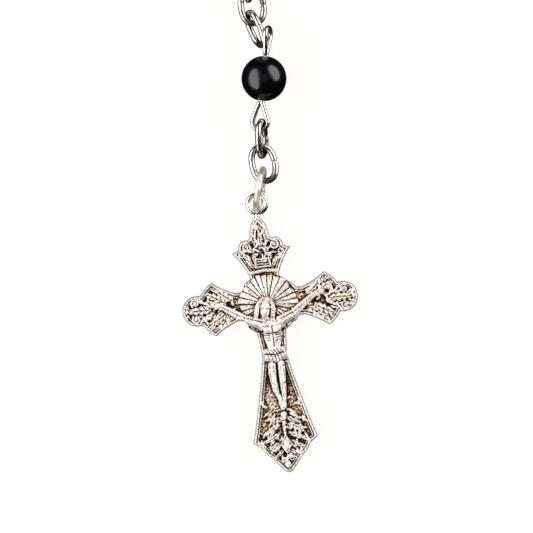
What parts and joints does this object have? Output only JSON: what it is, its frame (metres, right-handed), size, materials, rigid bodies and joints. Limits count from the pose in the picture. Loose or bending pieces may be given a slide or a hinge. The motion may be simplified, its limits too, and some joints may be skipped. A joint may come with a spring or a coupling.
{
  "type": "rosary",
  "caption": "Rosary of round black glass beads on antiqued silver eye pins and links, with an ornate flared crucifix, a pendant and a centrepiece, laid flat.",
  "frame": {"origin": "on the back face of the crucifix, behind the middle of its halo", "axes": "+Z out of the crucifix's front, upwards as the rosary lies on a table; +Y along the pendant towards the centrepiece; the crucifix itself leans 7.4 degrees from +Y towards -X"},
  "size_m": [0.2661, 0.2648, 0.0064],
  "materials": {
    "black_glass": "polished opaque black glass",
    "wire_silver": "worn silver-plated wire with brown tarnish",
    "crucifix_silver": "antiqued cast silver tone, dark brown in the recesses",
    "centrepiece_silver": "antiqued cast silver tone, dark brown in the recesses"
  },
  "bodies": {
    "centrepiece": {"centrepiece": "centrepiece_silver"},
    "link_11": {"link_11": "wire_silver"},
    "link_10": {"link_10": "wire_silver"},
    "link_9": {"link_9": "wire_silver"},
    "our_father_pin_2": {"our_father_pin_2": "wire_silver"},
    "link_8": {"link_8": "wire_silver"},
    "link_7": {"link_7": "wire_silver"},
    "link_6": {"link_6": "wire_silver"},
    "hail_mary_pin_3": {"hail_mary_pin_3": "wire_silver"},
    "hail_mary_pin_2": {"hail_mary_pin_2": "wire_silver"},
    "hail_mary_pin_1": {"hail_mary_pin_1": "wire_silver"},
    "link_5": {"link_5": "wire_silver"},
    "link_4": {"link_4": "wire_silver"},
    "link_3": {"link_3": "wire_silver"},
    "our_father_pin_1": {"our_father_pin_1": "wire_silver"},
    "link_2": {"link_2": "wire_silver"},
    "link_1": {"link_1": "wire_silver"},
    "jump_ring": {"jump_ring": "wire_silver"},
    "crucifix": {"crucifix": "crucifix_silver"},
    "our_father_bead_1": {"our_father_bead_1": "black_glass"},
    "our_father_bead_2": {"our_father_bead_2": "black_glass"},
    "hail_mary_bead_1": {"hail_mary_bead_1": "black_glass"},
    "hail_mary_bead_2": {"hail_mary_bead_2": "black_glass"},
    "hail_mary_bead_3": {"hail_mary_bead_3": "black_glass"},
    "left_first_links": {"left_first_links": "wire_silver"},
    "left_decade_half_1": {"left_beads_1": "black_glass", "left_pins_1": "wire_silver"},
    "left_decade_half_2": {"left_beads_2": "black_glass", "left_pins_2": "wire_silver"},
    "left_our_father_1": {"left_our_father_bead_1": "black_glass", "left_our_father_pin_1": "wire_silver", "left_our_father_links_1": "wire_silver"},
    "left_decade_half_3": {"left_beads_3": "black_glass", "left_pins_3": "wire_silver"},
    "left_decade_half_4": {"left_beads_4": "black_glass", "left_pins_4": "wire_silver"},
    "left_our_father_2": {"left_our_father_bead_2": "black_glass", "left_our_father_pin_2": "wire_silver", "left_our_father_links_2": "wire_silver"},
    "left_decade_half_5": {"left_beads_5": "black_glass", "left_pins_5": "wire_silver"},
    "right_first_links": {"right_first_links": "wire_silver"},
    "right_decade_half_1": {"right_beads_1": "black_glass", "right_pins_1": "wire_silver"},
    "right_decade_half_2": {"right_beads_2": "black_glass", "right_pins_2": "wire_silver"},
    "right_our_father_1": {"right_our_father_bead_1": "black_glass", "right_our_father_pin_1": "wire_silver", "right_our_father_links_1": "wire_silver"},
    "right_decade_half_3": {"right_beads_3": "black_glass", "right_pins_3": "wire_silver"},
    "right_decade_half_4": {"right_beads_4": "black_glass", "right_pins_4": "wire_silver"},
    "right_our_father_2": {"right_our_father_bead_2": "black_glass", "right_our_father_pin_2": "wire_silver", "right_our_father_links_2": "wire_silver"},
    "right_decade_half_5": {"right_beads_5": "black_glass", "right_pins_5": "wire_silver"}
  },
  "joints": [
    {"name": "crucifix_swing", "type": "hinge", "parent": "jump_ring", "child": "crucifix", "pos_m": [-0.00103, 0.01401, 0.00077], "axis": [0.1791, 0.9017, -0.3935], "range_deg": [-10, 30]},
    {"name": "jump_ring_lift", "type": "hinge", "parent": "link_1", "child": "jump_ring", "pos_m": [-0.00072, 0.01632, 0.00217], "axis": [-0.9726, 0.2185, 0.0794], "range_deg": [-60, 45]},
    {"name": "link_1_swing", "type": "hinge", "parent": "link_2", "child": "link_1", "pos_m": [-0.00053, 0.01998, 0.00115], "axis": [-0.2455, -0.6502, 0.719], "range_deg": [-15, 60]},
    {"name": "link_2_lift", "type": "hinge", "parent": "our_father_pin_1", "child": "link_2", "pos_m": [-0.00006, 0.02429, 0.00281], "axis": [0.2212, -0.9747, -0.0332], "range_deg": [-30, 0]},
    {"name": "our_father_pin_1_swing", "type": "hinge", "parent": "link_3", "child": "our_father_pin_1", "pos_m": [-0.00027, 0.03607, 0.00401], "axis": [0.2598, 0.8373, -0.4811], "range_deg": [-45, 0]},
    {"name": "link_3_lift", "type": "hinge", "parent": "link_4", "child": "link_3", "pos_m": [-0.00337, 0.03815, 0.00196], "axis": [0.3536, -0.9352, 0.0176], "range_deg": [-15, 30]},
    {"name": "link_4_swing", "type": "hinge", "parent": "link_5", "child": "link_4", "pos_m": [-0.00206, 0.0417, 0.00154], "axis": [0.9882, -0.0871, -0.1257], "range_deg": [-15, 60]},
    {"name": "link_5_lift", "type": "hinge", "parent": "hail_mary_pin_1", "child": "link_5", "pos_m": [-0.00274, 0.04353, 0.003], "axis": [-0.9177, 0.3973, 0], "range_deg": [-10, 60]},
    {"name": "hail_mary_pin_1_swing", "type": "hinge", "parent": "hail_mary_pin_2", "child": "hail_mary_pin_1", "pos_m": [-0.00322, 0.05693, 0.00296], "axis": [-0.0025, 0.0359, 0.9994], "range_deg": [-45, 45]},
    {"name": "hail_mary_pin_2_lift", "type": "hinge", "parent": "hail_mary_pin_3", "child": "hail_mary_pin_2", "pos_m": [-0.00354, 0.06905, 0.003], "axis": [0.9869, -0.1614, 0], "range_deg": [-45, 45]},
    {"name": "hail_mary_pin_3_swing", "type": "hinge", "parent": "link_6", "child": "hail_mary_pin_3", "pos_m": [-0.00273, 0.0825, 0.00326], "axis": [-0.0134, -0.2557, 0.9667], "range_deg": [-40, 40]},
    {"name": "link_6_lift", "type": "hinge", "parent": "link_7", "child": "link_6", "pos_m": [-0.00212, 0.08621, 0.00244], "axis": [-0.9839, 0.1786, -0.0055], "range_deg": [-45, 45]},
    {"name": "link_7_swing", "type": "hinge", "parent": "link_8", "child": "link_7", "pos_m": [-0.00203, 0.08987, 0.00232], "axis": [-0.0063, -0.1204, -0.9927], "range_deg": [-40, 40]},
    {"name": "link_8_lift", "type": "hinge", "parent": "our_father_pin_2", "child": "link_8", "pos_m": [-0.00225, 0.09349, 0.00306], "axis": [0.9972, 0.0747, 0.0055], "range_deg": [-45, 45]},
    {"name": "our_father_pin_2_swing", "type": "hinge", "parent": "link_9", "child": "our_father_pin_2", "pos_m": [-0.00222, 0.10543, 0.00312], "axis": [-0.0184, -0.1754, -0.9843], "range_deg": [-40, 40]},
    {"name": "link_9_lift", "type": "hinge", "parent": "link_10", "child": "link_9", "pos_m": [-0.00175, 0.10902, 0.00255], "axis": [-1, -0.0051, 0.0044], "range_deg": [-45, 45]},
    {"name": "link_10_swing", "type": "hinge", "parent": "link_11", "child": "link_10", "pos_m": [-0.00166, 0.11265, 0.00206], "axis": [0, 0.0007, 1], "range_deg": [-40, 40]},
    {"name": "link_11_lift", "type": "hinge", "parent": "centrepiece", "child": "link_11", "pos_m": [-0.00177, 0.11629, 0.0016], "axis": [0.9998, 0.0177, 0], "range_deg": [-60, 60]},
    {"name": "our_father_bead_1_spin", "type": "hinge", "parent": "our_father_pin_1", "child": "our_father_bead_1", "pos_m": [-0.00053, 0.0298, 0.003], "axis": [0.0871, 0.9956, 0.0349], "continuous": true},
    {"name": "our_father_bead_2_spin", "type": "hinge", "parent": "our_father_pin_2", "child": "our_father_bead_2", "pos_m": [-0.00218, 0.09946, 0.003], "axis": [0, 1, 0], "continuous": true},
    {"name": "hail_mary_bead_1_spin", "type": "hinge", "parent": "hail_mary_pin_1", "child": "hail_mary_bead_1", "pos_m": [-0.00275, 0.05019, 0.003], "axis": [-0.0698, 0.9976, 0], "continuous": true},
    {"name": "hail_mary_bead_2_spin", "type": "hinge", "parent": "hail_mary_pin_2", "child": "hail_mary_bead_2", "pos_m": [-0.00331, 0.06298, 0.003], "axis": [-0.0174, 0.9998, 0], "continuous": true},
    {"name": "hail_mary_bead_3_spin", "type": "hinge", "parent": "hail_mary_pin_3", "child": "hail_mary_bead_3", "pos_m": [-0.00308, 0.07579, 0.003], "axis": [0.0523, 0.9986, 0], "continuous": true},
    {"name": "left_first_links_lift", "type": "hinge", "parent": "centrepiece", "child": "left_first_links", "pos_m": [-0.01042, 0.13242, 0.0016], "axis": [-0.1057, 0.9944, 0], "range_deg": [-20, 45]},
    {"name": "left_decade_half_1_lift", "type": "hinge", "parent": "left_first_links", "child": "left_decade_half_1", "pos_m": [-0.0205, 0.13157, 0.003], "axis": [0.306, -0.952, 0], "range_deg": [-45, 45]},
    {"name": "left_decade_half_2_lift", "type": "hinge", "parent": "left_decade_half_1", "child": "left_decade_half_2", "pos_m": [-0.07888, 0.10669, 0.003], "axis": [0.7261, -0.6876, 0], "range_deg": [-45, 45]},
    {"name": "left_our_father_1_lift", "type": "hinge", "parent": "left_decade_half_2", "child": "left_our_father_1", "pos_m": [-0.11934, 0.05777, 0.00306], "axis": [-0.9163, 0.4005, -0.0055], "range_deg": [-45, 45]},
    {"name": "left_decade_half_3_lift", "type": "hinge", "parent": "left_our_father_1", "child": "left_decade_half_3", "pos_m": [-0.13097, 0.02511, 0.003], "axis": [-0.9991, 0.0429, 0], "range_deg": [-45, 45]},
    {"name": "left_decade_half_4_lift", "type": "hinge", "parent": "left_decade_half_3", "child": "left_decade_half_4", "pos_m": [-0.12747, -0.03819, 0.003], "axis": [0.8813, 0.4725, 0], "range_deg": [-45, 45]},
    {"name": "left_our_father_2_lift", "type": "hinge", "parent": "left_decade_half_4", "child": "left_our_father_2", "pos_m": [-0.09263, -0.09111, 0.00306], "axis": [0.6365, 0.7712, 0.0055], "range_deg": [-45, 45]},
    {"name": "left_decade_half_5_lift", "type": "hinge", "parent": "left_our_father_2", "child": "left_decade_half_5", "pos_m": [-0.0645, -0.11138, 0.003], "axis": [-0.3345, -0.9424, 0], "range_deg": [-45, 45]},
    {"name": "right_first_links_lift", "type": "hinge", "parent": "centrepiece", "child": "right_first_links", "pos_m": [0.00643, 0.13249, 0.0016], "axis": [-0.0705, -0.9975, 0], "range_deg": [-20, 45]},
    {"name": "right_decade_half_1_lift", "type": "hinge", "parent": "right_first_links", "child": "right_decade_half_1", "pos_m": [0.01651, 0.13171, 0.003], "axis": [0.2864, 0.9581, 0], "range_deg": [-45, 45]},
    {"name": "right_decade_half_2_lift", "type": "hinge", "parent": "right_decade_half_1", "child": "right_decade_half_2", "pos_m": [0.07536, 0.10801, 0.003], "axis": [0.7249, 0.6889, 0], "range_deg": [-45, 45]},
    {"name": "right_our_father_1_lift", "type": "hinge", "parent": "right_decade_half_2", "child": "right_our_father_1", "pos_m": [0.11455, 0.05824, 0.00306], "axis": [-0.9334, -0.3587, 0.0055], "range_deg": [-45, 45]},
    {"name": "right_decade_half_3_lift", "type": "hinge", "parent": "right_our_father_1", "child": "right_decade_half_3", "pos_m": [0.12489, 0.02513, 0.003], "axis": [-0.9997, -0.0252, 0], "range_deg": [-45, 45]},
    {"name": "right_decade_half_4_lift", "type": "hinge", "parent": "right_decade_half_3", "child": "right_decade_half_4", "pos_m": [0.12202, -0.03837, 0.003], "axis": [0.9015, -0.4328, 0], "range_deg": [-45, 45]},
    {"name": "right_our_father_2_lift", "type": "hinge", "parent": "right_decade_half_4", "child": "right_our_father_2", "pos_m": [0.08907, -0.09239, 0.00306], "axis": [0.6434, -0.7655, -0.0055], "range_deg": [-45, 45]},
    {"name": "right_decade_half_5_lift", "type": "hinge", "parent": "right_our_father_2", "child": "right_decade_half_5", "pos_m": [0.06012, -0.11281, 0.00306], "axis": [-0.5074, 0.8617, 0.0055], "range_deg": [-45, 45]}
  ]
}
